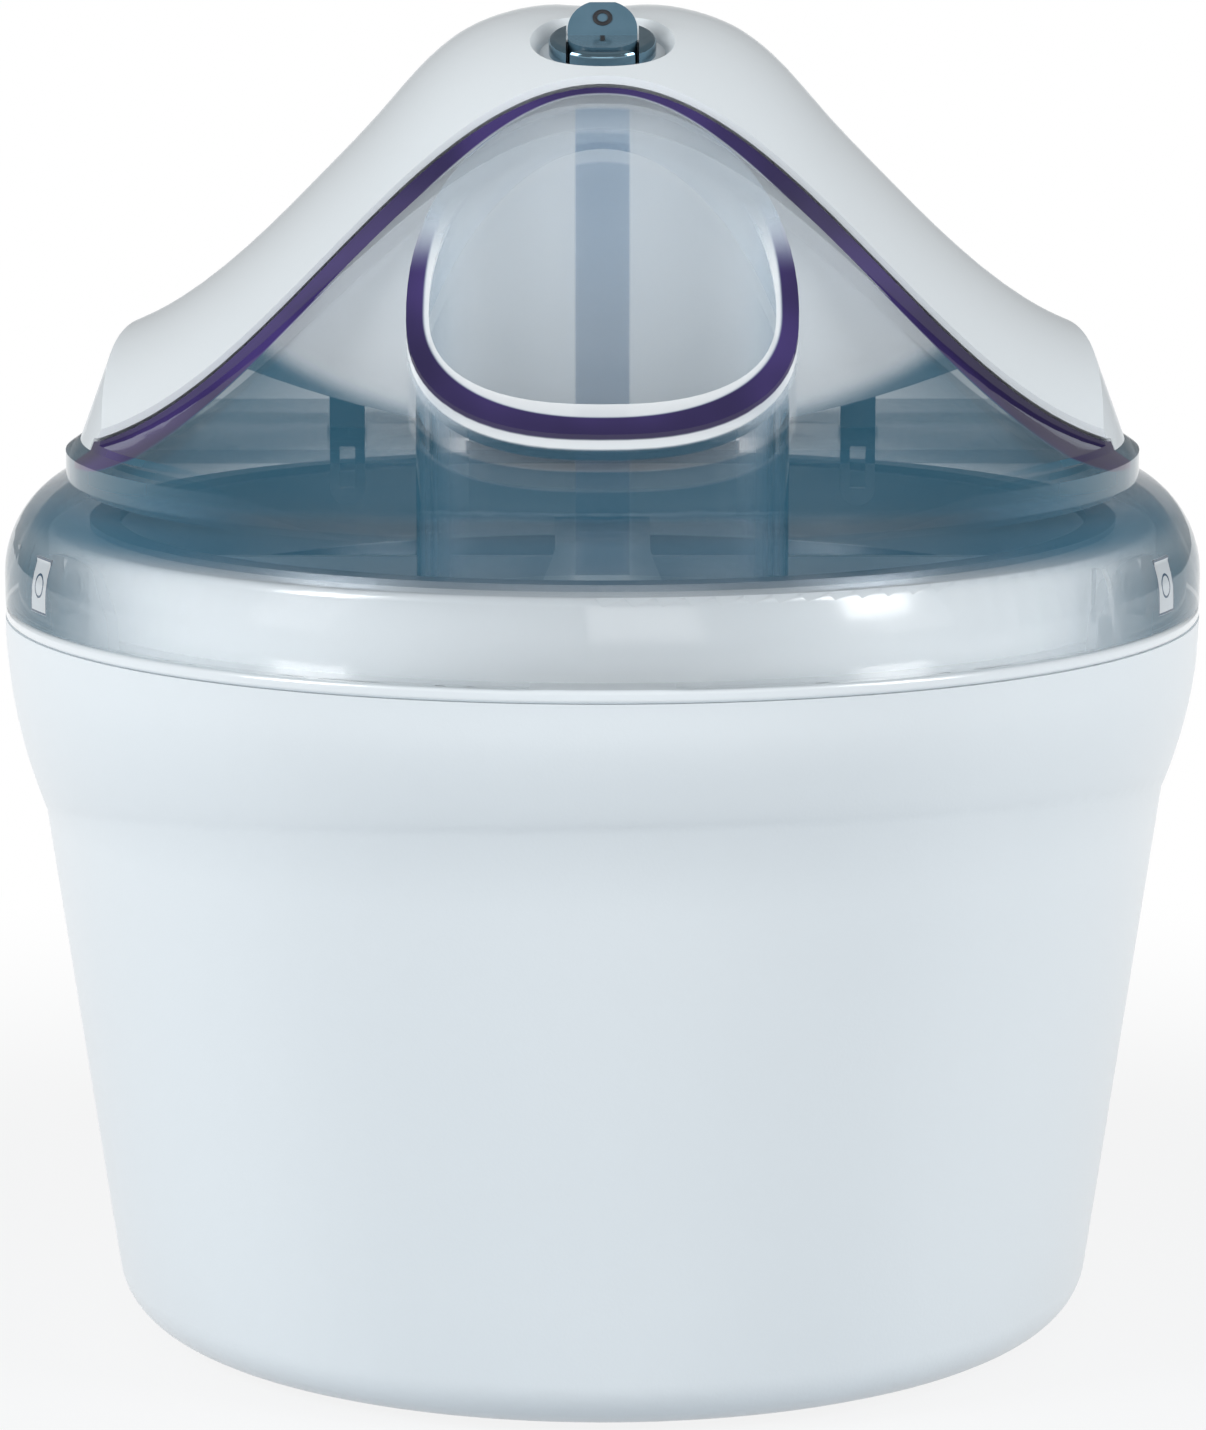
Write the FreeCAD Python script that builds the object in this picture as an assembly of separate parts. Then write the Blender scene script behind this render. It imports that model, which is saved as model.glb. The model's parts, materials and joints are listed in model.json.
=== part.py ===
import FreeCAD, Part
import math
import os
from FreeCAD import Placement, Rotation, Vector

# An ice cream maker: a bucket housing, a double-walled freezer bowl, a clear lid and a motor unit on top.
# Sizes are in millimetres. The origin is the middle of the footprint, +Z is up and the front faces -Y.

# Housing
rim_radius = 112.5            # housing rim and lid skirt
rim_height = 136.0
base_inset = 21.1             # the cone's foot inside the rim, at the table
waist_inset = 7.0             # how far the crease lies inside the rim, at crease_height
crease_height = 100.0         # crease on the machine's axis
crease_slope_front = 0.1166   # rise of the crease towards the front
crease_slope_right = 0.0218   # rise of the crease towards the right
crease_overlap = 5.0          # how deep the band is rooted in the cone
band_sections = 5
housing_wall = 2.6
base_thickness = 5.0
base_round = 11.0
ring_points = 32              # points on a closed curve
spare = 1.0                   # how far a cutting shape runs past what it cuts
same_place = 1e-6             # points closer than this are one
foot_lift = 1.2
foot_radius = 9.0
foot_thickness = 4.0
foot_circle = 66.0
foot_count = 4

# Freezer bowl
bowl_gap = 3.5                # housing to bowl jacket
jacket_wall = 1.8
jacket_floor_height = 14.0
jacket_round = 12.0
coolant_gap = 13.0            # jacket to liner
liner_wall = 1.2
liner_floor_height = 32.0     # inside bottom of the bowl
liner_round = 12.0
liner_lip = 4.5
collar_flange = 2.4
collar_rise = 14.5            # collar above its flange
collar_drop = 8.0             # collar below its flange
collar_round = 1.5
flange_round = 0.8
collar_inset = 8.2            # collar wall inside the rim
lug_depth = 2.6
lug_height = 4.0
lug_width = 4.0
lug_offset_angle = 5.2
plug_radius = 7.0
plug_head = 9.0
plug_head_thickness = 2.0
seal_section = 0.9
fill_clearance = 0.05

# Lid
lid_gap = 0.4                 # shadow gap round the outside of the skirt's foot
lid_gap_depth = 1.4
lid_wall = 2.5
shoulder_radius = 20.0
plate_rise = 28.0             # lid plate above the rim
platform_rise = 33.0          # seat of the motor unit above the rim
platform_inset = 11.7
platform_front = -28.0
platform_back = 58.0
platform_round = 2.0
end_lean = 0.37               # inward lean of the bridge's ends
end_inset = 14.5              # bridge's end inside the rim, at the platform
hood_front = -95.0
hood_toe = 0.3                # share of the sweep that eases into the plate
hood_wall = 3.6               # measured upright, on a slope
hood_sections = 8
hood_sink = 0.6
rib_depth = 4.5
rib_height = 3.8
lock_angle = -25.0            # right-hand lock block, measured from the right
lock_width = 8.0
lock_height = 10.0
lock_lift = 3.0
lock_depth = 3.8
lock_boss_radius = 2.2
lock_boss_depth = 1.2
stop_angle = 9.5
stop_width = 1.6
grip_width = 25.0
grip_height = 1.0

# Filler chute
chute_half_width = 33.0
chute_middle = -63.5
chute_front_depth = 15.0
chute_back_depth = 27.0
chute_front_power = 2.5
chute_back_power = 2.1
chute_wall = 2.4
chute_bottom_rise = 11.5      # lower end of the chute above the rim
chute_slope = 1.21
chute_lip_rise = 44.0         # lip plane above the rim, at the chute's front
chute_lip_width = 1.6
chute_lip_thickness = 4.5

# Bridge
arch_inset = 10.5             # ends of the arch inside the rim
arch_foot_rise = 34.0
arch_top_rise = 100.0
arch_points = 25
bridge_front = -30.0
bridge_back = 60.0
bridge_lip = 1.5
bridge_sections = 7
cover_wall = 3.0
cover_gap = 0.5               # arch to hood
crown_rise = 14.6
crown_dip = 4.1
crown_dip_reach = 12.0
crown_shoulder = 2.3
crown_shoulder_at = 30.0
crown_shoulder_reach = 9.0

# Motor base
base_wall = 2.5
belly_rise = 35.5             # lowest point of the belly above the rim
belly_half_width = 66.0
leg_depth = 4.0
leg_points = 7
base_recess = 2.8             # base walls behind the cover's edge
cavity_inset = 18.0           # hollow of the base short of the arch's ends
boss_half_width = 25.0
boss_half_depth = 15.0
boss_corner = 5.0
boss_drop = 16.5              # boss below the belly
boss_clearance = 0.6
tongue_at_x = 48.6
tongue_at_y = 10.0
tongue_width = 6.6
tongue_thickness = 2.2
tongue_bottom_rise = 18.0
tongue_slit_width = 3.0
tongue_slit_height = 8.0
tongue_clearance = 0.5

# Switch
switch_at_y = -14.0
switch_tilt = 16.5
dish_radius = 14.2
dish_floor_radius = 11.6
dish_depth = 3.0
dish_wall = 2.4
cup_depth = 9.0
bezel_radius = 9.9
bezel_thickness = 3.2
bezel_round = 1.0
barrel_radius = 8.8
barrel_length = 15.0
barrel_clearance = 0.15
rocker_half_length = 7.6
rocker_half_width = 6.4
rocker_corner = 6.2
rocker_slope = 18.0
rocker_tilt = 16.0
rocker_skirt = 4.0
rocker_clearance = 0.3
rocker_pivot_rise = 0.4       # pivot above the dish's edge
rocker_well = 9.0
terminal_width = 4.8
terminal_thickness = 0.8
terminal_length = 8.0
terminal_spacing = 8.0

# Gear train
output_teeth = 42
idler_pinion_teeth = 12
idler_wheel_teeth = 45
motor_pinion_teeth = 12
output_module = 1.0
motor_module = 0.8
pressure_angle = 20.0
tooth_addendum = 0.75
tooth_dedendum = 1.1
tooth_backlash = 0.16
flank_points = 4
idler_direction = 72.8
motor_direction = 189.3
running_clearance = 0.05
gear_clearance = 1.2
output_gear_lift = 4.0        # output gear above the base floor
output_gear_width = 8.0
output_hub_radius = 8.0
idler_wheel_width = 5.0
pinion_overhang = 0.5
plate_thickness = 3.0
plate_front = -23.0
plate_back = 50.0
plate_half_width = 46.0
plate_corner = 6.0
post_half_spacing = 38.0
post_front = -16.0
post_back = 43.0
post_radius = 4.0
pin_radius = 2.5
pin_boss_radius = 4.5

# Output shaft and paddle
shaft_radius = 4.0
drive_width = 6.4
drive_length = 14.0
drive_clearance = 0.15
bush_radius = 7.0
bush_flange = 9.0
bush_flange_thickness = 1.5
bush_length = 12.0
seal_thickness = 3.0
hub_radius = 9.0
hub_flare_radius = 12.3
hub_gap = 1.2                 # boss to paddle hub
hub_neck = 7.0
hub_flare_length = 8.0
hub_length = 32.0
hub_round = 1.0
blade_thickness = 3.0
blade_clearance = 3.0
blade_floor_clearance = 3.0
blade_top_drop = 2.0          # blade top below the chute
blade_bar = 7.0
blade_side_bar = 10.0
blade_foot_bar = 14.0
blade_corner = 8.0
spine_half_width = 9.0

# Motor
motor_radius = 24.0
motor_height = 22.0
motor_wall = 1.2
coil_bore = 13.0
coil_margin = 2.0
rotor_radius = 12.0
rotor_margin = 2.5
motor_shaft_radius = 1.5
shaft_hole_radius = 6.0
ear_reach = 29.0
ear_radius = 4.5
ear_thickness = 1.6

# Cord gland and internal leads
gland_rise = 70.0
gland_radius = 5.5
gland_flange_radius = 7.5
gland_flange_thickness = 2.5
gland_bore = 3.3
gland_inside = 3.0
lead_radius = 1.0
lead_bend = 3.2
lead_spread = 1.7
lead_stub = 5.0               # straight run off a switch terminal
lead_entry = 4.0              # straight run off the gland
switched_lead_bends = ((23.0, -6.0, 9.0), (24.0, 12.0, 5.0))              # from the motor's top
switched_lead_end = (4.0, -2.0, 8.0)                                      # from the gland
motor_lead_bends = ((8.0, -10.0, 7.0), (8.0, -2.0, 6.0), (8.0, -2.0, 0))  # from the motor's top
neutral_lead_start = (-2.0, -0.5, 17.0)                                   # from the gland
neutral_lead_bends = ((6.0, 15.0, 7.0), (5.0, 6.0, 6.0), (5.0, 6.0, 0))   # from the motor's top

# Fasteners
screw_radius = 1.5
screw_head_radius = 2.8
screw_head_height = 2.0
screw_clearance = 0.1
screw_tip_gap = 1.0
case_screw_at_x = 52.0
case_screw_front = -13.0
case_screw_back = 44.0
case_screw_length = 14.0
case_boss_radius = 4.8
case_boss_height = 9.0
pillar_radius = 4.0
small_screw_length = 7.0

# Heights and radii that follow from the sizes above
base_radius = rim_radius - base_inset
waist_radius = rim_radius - waist_inset
lock_angles = (lock_angle, 180 - lock_angle)
floor_height = foot_lift + base_thickness
collar_bottom = rim_height - collar_drop
collar_radius = rim_radius - collar_inset
flange_top = rim_height + collar_flange
skirt_bottom = flange_top + lid_gap
collar_top = flange_top + collar_rise
plate_height = rim_height + plate_rise
platform_height = rim_height + platform_rise
platform_radius = rim_radius - platform_inset
arch_half_span = rim_radius - arch_inset
cavity_half_width = arch_half_span - cavity_inset
arch_foot = rim_height + arch_foot_rise
arch_top = rim_height + arch_top_rise
belly_height = rim_height + belly_rise
belly_floor = belly_height + base_wall
boss_bottom = belly_height - boss_drop
bridge_middle = (bridge_front + bridge_back) / 2
bridge_half_depth = (bridge_back - bridge_front) / 2
base_front = bridge_front + base_recess
base_back = bridge_back - base_recess
chute_bottom = rim_height + chute_bottom_rise
hub_top = boss_bottom - hub_gap
blade_top = chute_bottom - blade_top_drop
blade_bottom = liner_floor_height + blade_floor_clearance
output_gear_bottom = belly_floor + output_gear_lift
output_gear_top = output_gear_bottom + output_gear_width
wheel_bottom = output_gear_top + gear_clearance
wheel_top = wheel_bottom + idler_wheel_width
plate_bottom = wheel_top + gear_clearance + pinion_overhang
plate_top = plate_bottom + plate_thickness
motor_top = plate_top + motor_height
high_above = arch_top + rim_radius
deep_below = plate_height - shoulder_radius
through = 2 * rim_radius


def cone_radius(height):
    return base_radius + (waist_radius - base_radius) * height / crease_height


def jacket_radius(height):
    return cone_radius(height) - housing_wall - bowl_gap


def liner_radius(height):
    return jacket_radius(height) - jacket_wall - coolant_gap


def upright(radius, height):
    return Vector(radius, 0, height)


def plan(x, y):
    return Vector(x, y, 0)


def side_on(y, z):
    return Vector(0, y, z)


def rounded_wire(corners, place=upright):
    # Each corner is (a, b), or (a, b, fillet radius) for a rounded one.
    stretches = []
    count = len(corners)
    for index, corner in enumerate(corners):
        here = place(corner[0], corner[1])
        if len(corner) == 2:
            stretches.append((here, here, None))
            continue
        before = place(*corners[index - 1][:2])
        after = place(*corners[(index + 1) % count][:2])
        back = (before - here).normalize()
        ahead = (after - here).normalize()
        half_angle = back.getAngle(ahead) / 2
        reach = corner[2] / math.tan(half_angle)
        inward = (back + ahead).normalize()
        middle = here + inward * (corner[2] / math.sin(half_angle) - corner[2])
        stretches.append((here + back * reach, here + ahead * reach, middle))
    edges = []
    for index, (entry, leave, middle) in enumerate(stretches):
        if middle is not None:
            edges.append(Part.Arc(entry, middle, leave).toShape())
        onward = stretches[(index + 1) % count][0]
        if leave.distanceToPoint(onward) > same_place:
            edges.append(Part.LineSegment(leave, onward).toShape())
    return Part.Wire(edges)


def revolved(corners):
    face = Part.Face(rounded_wire(corners))
    return face.revolve(Vector(), Vector(0, 0, 1), 360)


def rod(radius, bottom, top, x=0, y=0):
    return Part.makeCylinder(radius, top - bottom, Vector(x, y, bottom))


def ring(outer, inner, bottom, top, x=0, y=0):
    return rod(outer, bottom, top, x, y).cut(rod(inner, bottom - spare, top + spare, x, y))


def block(low, high):
    size = Vector(*high) - Vector(*low)
    return Part.makeBox(size.x, size.y, size.z, Vector(*low))


def prism(corners, bottom, top):
    face = Part.Face(rounded_wire(corners, plan))
    face.translate(Vector(0, 0, bottom))
    return face.extrude(Vector(0, 0, top - bottom))


def rectangle(half_width, half_depth, corner=0, x=0, y=0):
    signs = ((-1, -1), (1, -1), (1, 1), (-1, 1))
    points = [(x + half_width * a, y + half_depth * b) for a, b in signs]
    return [point + (corner,) for point in points] if corner else points


def turned(shape, angle):
    copy = shape.copy()
    copy.rotate(Vector(), Vector(0, 0, 1), angle)
    return copy


def curve_through(points, closed=False):
    curve = Part.BSplineCurve()
    curve.interpolate(Points=points, PeriodicFlag=closed)
    return curve.toShape()


def joined(shapes):
    return shapes[0].fuse(shapes[1:]).removeSplitter()


def group(shapes):
    return Part.makeCompound(shapes)


# Housing and feet


def crease_plane(x, y):
    return crease_height + crease_slope_right * x - crease_slope_front * y


def band_wire(share):
    # A ring of the upper band, from the crease at share 0 to the rim at share 1.
    points = []
    for step in range(ring_points):
        angle = 2 * math.pi * step / ring_points
        across = math.cos(angle)
        along = math.sin(angle)
        slope = crease_slope_right * across - crease_slope_front * along
        flare = (waist_radius - base_radius) / crease_height
        radius = waist_radius / (1 - flare * slope)
        height = crease_plane(radius * across, radius * along)
        radius += (rim_radius - radius) * (1 - (1 - share) ** 2)
        height += (rim_height - height) * share
        points.append(Vector(radius * across, radius * along, height))
    return Part.Wire(curve_through(points, True))


def band_root():
    # A flat ring parallel to the crease, inside the cone, that the band grows out of.
    points = []
    slope = 2 * waist_inset / (rim_height - crease_height)
    radius = waist_radius - slope * crease_overlap
    for step in range(ring_points):
        angle = 2 * math.pi * step / ring_points
        x = radius * math.cos(angle)
        y = radius * math.sin(angle)
        points.append(Vector(x, y, crease_plane(x, y) - crease_overlap))
    return Part.Wire(curve_through(points, True))


def foot_places():
    for step in range(foot_count):
        angle = 2 * math.pi * (step + 0.5) / foot_count
        yield foot_circle * math.cos(angle), foot_circle * math.sin(angle)


def make_housing():
    cone = revolved([
        (0, foot_lift), (cone_radius(foot_lift), foot_lift, base_round),
        (cone_radius(rim_height), rim_height), (0, rim_height)])
    lean = Rotation(Vector(0, 0, 1), Vector(-crease_slope_right, crease_slope_front, 1))
    above_crease = block((-through, -through, 0), (through, through, through))
    above_crease.Placement = Placement(Vector(0, 0, crease_height + crease_overlap), lean)
    cone = cone.cut(above_crease)
    shares = [step / (band_sections - 1) for step in range(band_sections)]
    band = Part.makeLoft([band_root()] + [band_wire(share) for share in shares], True, False)
    body = cone.fuse(band)
    cavity = revolved([
        (0, floor_height),
        (cone_radius(floor_height) - housing_wall, floor_height, base_round - housing_wall),
        (cone_radius(rim_height + spare) - housing_wall, rim_height + spare),
        (0, rim_height + spare)])
    pockets = [rod(foot_radius, foot_lift - spare, foot_thickness, x, y) for x, y in foot_places()]
    return body.cut([cavity] + pockets)


def make_feet():
    return group([rod(foot_radius, 0, foot_thickness, x, y) for x, y in foot_places()])


# Freezer bowl


def make_bowl_jacket():
    floor = jacket_floor_height
    outer = revolved([
        (0, floor), (jacket_radius(floor), floor, jacket_round),
        (jacket_radius(rim_height), rim_height), (0, rim_height)])
    inside = floor + jacket_wall
    inner = revolved([
        (0, inside), (jacket_radius(inside) - jacket_wall, inside, jacket_round - jacket_wall),
        (jacket_radius(rim_height + spare) - jacket_wall, rim_height + spare), (0, rim_height + spare)])
    return outer.cut([inner, rod(plug_radius, floor - spare, inside + spare)])


def make_fill_plug():
    floor = jacket_floor_height
    return joined([
        rod(plug_radius, floor, floor + jacket_wall),
        rod(plug_head, floor - plug_head_thickness, floor)])


def liner_shape(inset, floor, top):
    return revolved([
        (0, floor), (liner_radius(floor) - inset, floor, liner_round - inset),
        (liner_radius(top) - inset, top), (0, top)])


def make_bowl_liner():
    lip_top = collar_top + liner_wall
    outer = liner_shape(0, liner_floor_height - liner_wall, lip_top)
    lip = rod(liner_radius(collar_top) + liner_lip, collar_top, lip_top)
    inner = liner_shape(liner_wall, liner_floor_height, lip_top + spare)
    return joined([outer, lip]).cut(inner)


def make_coolant_fill():
    floor = jacket_floor_height + jacket_wall + fill_clearance
    top = collar_bottom - fill_clearance
    wall = jacket_wall + fill_clearance
    outer = revolved([
        (0, floor), (jacket_radius(floor) - wall, floor, jacket_round - wall),
        (jacket_radius(top) - wall, top), (0, top)])
    liner_bottom = liner_floor_height - liner_wall - fill_clearance
    return outer.cut(liner_shape(-fill_clearance, liner_bottom, top + spare))


def seal_circle():
    return liner_radius(collar_top) + liner_lip / 2


def make_bowl_collar():
    spigot = jacket_radius(collar_bottom) - jacket_wall - fill_clearance
    flange_radius = rim_radius - fill_clearance
    collar = revolved([
        (0, collar_bottom), (spigot, collar_bottom), (spigot, rim_height),
        (flange_radius, rim_height, flange_round), (flange_radius, flange_top, flange_round),
        (collar_radius, flange_top), (collar_radius, collar_top, collar_round), (0, collar_top)])
    below = collar_bottom - spare
    above = collar_top + spare
    bore = revolved([
        (0, below), (liner_radius(below) + fill_clearance, below),
        (liner_radius(above) + fill_clearance, above), (0, above)])
    groove = ring(
        seal_circle() + seal_section, seal_circle() - seal_section,
        collar_top - 2 * seal_section, above)
    lugs = []
    for angle in lock_angles:
        lug = block(
            (collar_radius - spare, -lug_width / 2, flange_top),
            (collar_radius + lug_depth, lug_width / 2, flange_top + lug_height))
        lugs.append(turned(lug, angle - lug_offset_angle))
    return joined([collar] + lugs).cut([bore, groove])


def make_bowl_seal():
    middle = Vector(0, 0, collar_top - seal_section)
    return Part.makeTorus(seal_circle(), seal_section - fill_clearance, middle)


# Arch, lid and chute


def arch_height(x):
    swing = 1 + math.cos(math.pi * x / arch_half_span)
    return arch_foot + (arch_top - arch_foot) / 2 * swing


def arch_stations():
    return [arch_half_span * (2 * step / (arch_points - 1) - 1) for step in range(arch_points)]


def skyline_wire(y, height, bottom):
    # A closed outline across the machine at depth y, under the curve height(x).
    top = [Vector(x, y, height(x)) for x in arch_stations()]
    left = Vector(top[0].x, y, bottom)
    right = Vector(top[-1].x, y, bottom)
    return Part.Wire([
        Part.LineSegment(left, top[0]).toShape(), curve_through(top),
        Part.LineSegment(top[-1], right).toShape(), Part.LineSegment(right, left).toShape()])


def under_arch(drop, front, back):
    # Everything below the arch, lowered by drop, between two depths.
    face = Part.Face(skyline_wire(front, lambda x: arch_height(x) - drop, deep_below))
    return face.extrude(Vector(0, back - front, 0))


def end_envelope(inset):
    # The round outline that trims the ends of the bridge and the seat below it.
    wall = platform_radius - inset
    foot = rim_radius - end_inset - inset
    tip = foot - end_lean * (high_above - platform_height)
    return revolved([
        (0, deep_below), (wall, deep_below), (wall, platform_height - platform_round - inset),
        (foot, platform_height - inset), (tip, high_above), (0, high_above)])


def hood_sweep(share):
    # Rises from 0 to 1, level at first and then straight.
    straight = share - hood_toe / 2
    toe = share ** 2 / (2 * hood_toe)
    return (toe if share < hood_toe else straight) / (1 - hood_toe / 2)


def hood_shape(drop):
    # The hood sweeps down from the arch to the lid plate in front.
    wires = []
    for step in range(hood_sections):
        share = step / (hood_sections - 1)
        y = hood_front + (platform_front - hood_front) * share
        sweep = hood_sweep(share)

        def height(x, sweep=sweep):
            rise = arch_height(x) - cover_gap - plate_height + hood_sink
            return plate_height - hood_sink + rise * sweep - drop

        wires.append(skyline_wire(y, height, deep_below))
    return Part.makeLoft(wires, True, False)


def chute_outline(offset):
    points = []
    for step in range(ring_points):
        angle = 2 * math.pi * step / ring_points
        across = math.cos(angle)
        along = math.sin(angle)
        power = 2 / (chute_back_power if along > 0 else chute_front_power)
        depth = chute_back_depth if along > 0 else chute_front_depth
        x = math.copysign(abs(across) ** power, across) * (chute_half_width + offset)
        y = math.copysign(abs(along) ** power, along) * (depth + offset)
        points.append(Vector(x, chute_middle + y, 0))
    return Part.Face(Part.Wire(curve_through(points, True)))


def chute_prism(offset, bottom):
    face = chute_outline(offset)
    face.translate(Vector(0, 0, bottom))
    return face.extrude(Vector(0, 0, high_above - bottom))


def over_lip(drop):
    # Everything above the slanting lip plane, lowered by drop.
    front = chute_middle - chute_front_depth
    lip = rim_height + chute_lip_rise - drop
    climb = through * chute_slope
    corners = [
        (front - through, lip - climb), (front + through, lip + climb),
        (front + through, lip + 2 * climb), (front - through, lip + 2 * climb)]
    face = Part.Face(rounded_wire(corners, side_on))
    face.translate(Vector(-through, 0, 0))
    return face.extrude(Vector(2 * through, 0, 0))


def make_lid():
    outside = [
        revolved([
            (0, flange_top), (rim_radius, flange_top),
            (rim_radius, plate_height, shoulder_radius), (0, plate_height)])]
    envelope = end_envelope(0)
    seat = block((-through, platform_front, deep_below), (through, platform_back, platform_height))
    outside.append(envelope.common(seat))
    outside.append(hood_shape(0).common(envelope))
    rib_front = platform_front - rib_depth
    rib = under_arch(cover_gap, rib_front, platform_front)
    outside.append(rib.common(envelope))
    inner_envelope = end_envelope(lid_wall)
    inside = [
        revolved([
            (0, flange_top - spare), (rim_radius - lid_wall, flange_top - spare),
            (rim_radius - lid_wall, plate_height - lid_wall, shoulder_radius - lid_wall),
            (0, plate_height - lid_wall)])]
    inner_seat = block(
        (-through, platform_front - spare, deep_below),
        (through, platform_back - lid_wall, platform_height - lid_wall))
    inside.append(inner_envelope.common(inner_seat))
    inside.append(hood_shape(hood_wall).common(inner_envelope))
    behind_rib = under_arch(cover_gap + rib_height, rib_front - spare, platform_front + spare)
    inside.append(behind_rib.common(inner_envelope))
    shell = joined(outside).cut(joined(inside))
    tube = chute_prism(0, chute_bottom).cut(over_lip(0))
    lip = chute_prism(chute_lip_width, chute_bottom).common(over_lip(chute_lip_thickness))
    lip = lip.cut(over_lip(0))
    shell = joined([shell, tube, lip])
    bore = chute_prism(-chute_wall, chute_bottom - spare)
    boss_hole = prism(
        rectangle(boss_half_width + boss_clearance, boss_half_depth + boss_clearance, boss_corner),
        deep_below, high_above)
    slots = []
    for side in (-1, 1):
        slots.append(prism(
            rectangle(
                tongue_width / 2 + tongue_clearance, tongue_thickness / 2 + tongue_clearance,
                0, side * tongue_at_x, tongue_at_y),
            deep_below, platform_height + spare))
    grip = block(
        (-grip_width / 2, -through, flange_top - spare),
        (grip_width / 2, 0, skirt_bottom + grip_height))
    shadow_gap = ring(rim_radius + spare, rim_radius - lid_gap_depth, flange_top - spare, skirt_bottom)
    shell = shell.cut([bore, boss_hole, grip, shadow_gap] + slots)
    return joined([shell] + lock_blocks())


def lock_blocks():
    blocks = []
    inner = rim_radius - lid_wall - lock_depth
    skirt = rim_radius - lid_wall / 2
    for angle in lock_angles:
        body = block(
            (inner, -lock_width / 2, skirt_bottom + lock_lift),
            (skirt, lock_width / 2, skirt_bottom + lock_lift + lock_height))
        boss = Part.makeCylinder(
            lock_boss_radius, lock_boss_depth + lock_depth / 2,
            Vector(inner - lock_boss_depth, 0, skirt_bottom + lock_lift + lock_height / 2), Vector(1, 0, 0))
        stop = block(
            (inner, -stop_width / 2, skirt_bottom + lock_lift),
            (skirt, stop_width / 2, skirt_bottom + lock_lift + lock_height))
        blocks.append(turned(body, angle))
        blocks.append(turned(boss, angle))
        blocks.append(turned(stop, angle - stop_angle))
    return blocks


# Motor unit: cover, base and switch


def crown(x):
    dip = crown_dip * math.exp(-(x / crown_dip_reach) ** 2)
    shoulder = crown_shoulder * math.exp(-((abs(x) - crown_shoulder_at) / crown_shoulder_reach) ** 2)
    return crown_rise - dip + shoulder


def crown_share(y):
    return 1 - ((y - bridge_middle) / bridge_half_depth) ** 2


def bridge_height(x, y):
    return arch_height(x) + bridge_lip + crown(x) * crown_share(y)


def bridge_shape(inset):
    front = bridge_front + inset
    back = bridge_back - inset
    wires = []
    for step in range(bridge_sections):
        y = front + (back - front) * step / (bridge_sections - 1)
        wires.append(skyline_wire(y, lambda x, y=y: bridge_height(x, y) - inset, deep_below))
    return Part.makeLoft(wires, True, False)


def on_switch(shape):
    # Moves a shape from the switch's own axes to its place in the bridge.
    rest = Vector(0, switch_at_y, bridge_height(0, switch_at_y))
    shape.Placement = Placement(rest, Rotation(Vector(1, 0, 0), switch_tilt))
    return shape


def pillar_places():
    return [(side * case_screw_at_x, y) for side in (-1, 1) for y in (case_screw_front, case_screw_back)]


def belly_curve_height(x):
    join = arch_height(belly_half_width) - leg_depth
    return belly_height + (join - belly_height) * (x / belly_half_width) ** 2


def case_boss_top():
    return belly_curve_height(case_screw_at_x) + case_boss_height


def make_motor_cover():
    outer = bridge_shape(0).common(end_envelope(0))
    inner = bridge_shape(cover_wall).common(end_envelope(cover_wall))
    shell = outer.cut([inner, under_arch(0, bridge_front - spare, bridge_back + spare)])
    cup = on_switch(rod(dish_radius + dish_wall, -cup_depth, cup_depth))
    pillars = [rod(pillar_radius, case_boss_top(), high_above, x, y) for x, y in pillar_places()]
    base_wall_room = under_arch(0, bridge_front - spare, base_front + base_wall + cover_gap)
    filling = joined([cup] + pillars).common(outer).cut(base_wall_room)
    dish = on_switch(Part.makeCone(
        dish_floor_radius, 2 * dish_radius - dish_floor_radius, 2 * dish_depth, Vector(0, 0, -dish_depth)))
    barrel_hole = on_switch(rod(barrel_radius + barrel_clearance, -2 * cup_depth, dish_depth))
    pilots = []
    for x, y in pillar_places():
        pilots.append(rod(screw_radius + fill_clearance, case_boss_top() - spare, case_screw_tip(), x, y))
    return joined([shell, filling]).cut([dish, barrel_hole] + pilots)


def case_screw_seat():
    return case_boss_top() - case_boss_height / 2


def case_screw_tip():
    return case_screw_seat() + case_screw_length


def base_profile(lift, half_width, front):
    # Outline of the motor base: a belly in the middle, slim legs and flat pads at the ends.
    reach = (platform_height + leg_depth - arch_foot) / (arch_top - arch_foot) * 2 - 1
    pad_start = arch_half_span / math.pi * math.acos(reach)
    leg_end = min(pad_start, half_width)
    inward = belly_half_width - leg_end
    stations = [leg_end + inward * step / (leg_points - 1) for step in range(leg_points)]

    def leg(side):
        return [Vector(side * x, front, arch_height(x) - leg_depth + lift) for x in stations]

    left = leg(-1)
    right = list(reversed(leg(1)))
    belly = Part.BezierCurve()
    belly.setPoles([
        left[-1], Vector(0, front, 2 * (belly_height + lift) - left[-1].z), right[0]])
    top = [Vector(x, front, arch_height(x) + lift) for x in arch_stations() if abs(x) < half_width]
    corner = Vector(half_width, front, arch_height(half_width) + lift)
    top = [Vector(-corner.x, front, corner.z)] + top + [corner]
    edges = [curve_through(left), belly.toShape(), curve_through(right)]
    low_left = Vector(-half_width, front, left[0].z)
    low_right = Vector(half_width, front, left[0].z)
    if half_width > leg_end:
        edges.insert(0, Part.LineSegment(low_left, left[0]).toShape())
        edges.append(Part.LineSegment(right[-1], low_right).toShape())
    edges.append(Part.LineSegment(low_right, top[-1]).toShape())
    edges.append(curve_through(list(reversed(top))))
    edges.append(Part.LineSegment(top[0], low_left).toShape())
    return Part.Face(Part.Wire(edges))


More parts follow.
